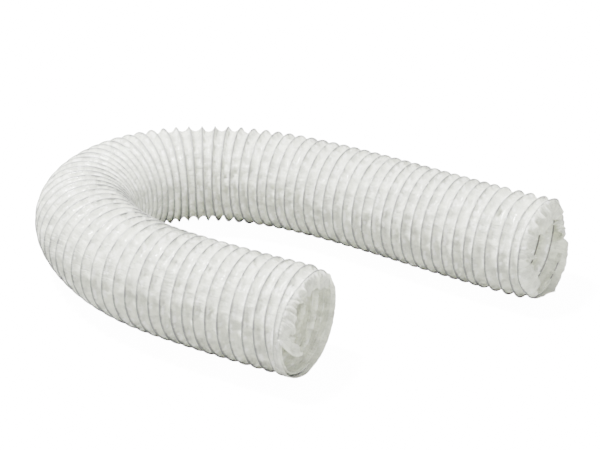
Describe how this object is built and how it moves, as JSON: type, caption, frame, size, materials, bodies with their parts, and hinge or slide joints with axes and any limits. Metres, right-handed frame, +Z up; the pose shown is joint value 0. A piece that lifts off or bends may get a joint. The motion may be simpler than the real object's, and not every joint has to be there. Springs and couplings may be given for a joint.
{
  "type": "exhaust hose",
  "caption": "Flexible white vinyl exhaust hose on a sprung wire coil, laid on the floor in a U with both mouths open, for carrying moist air away.",
  "frame": {"origin": "on the floor under the middle of the hose's box", "axes": "+Z up, +X the way both mouths open, along the back leg; the bend lies towards -X and the front leg towards -Y"},
  "size_m": [0.485, 0.3466, 0.1],
  "materials": {
    "vinyl_film": "thin satin film, faintly translucent",
    "spring_wire": "drawn spring wire"
  },
  "bodies": {
    "root": {"vinyl_sleeve": "vinyl_film", "wire_helix": "spring_wire"}
  },
  "joints": []
}
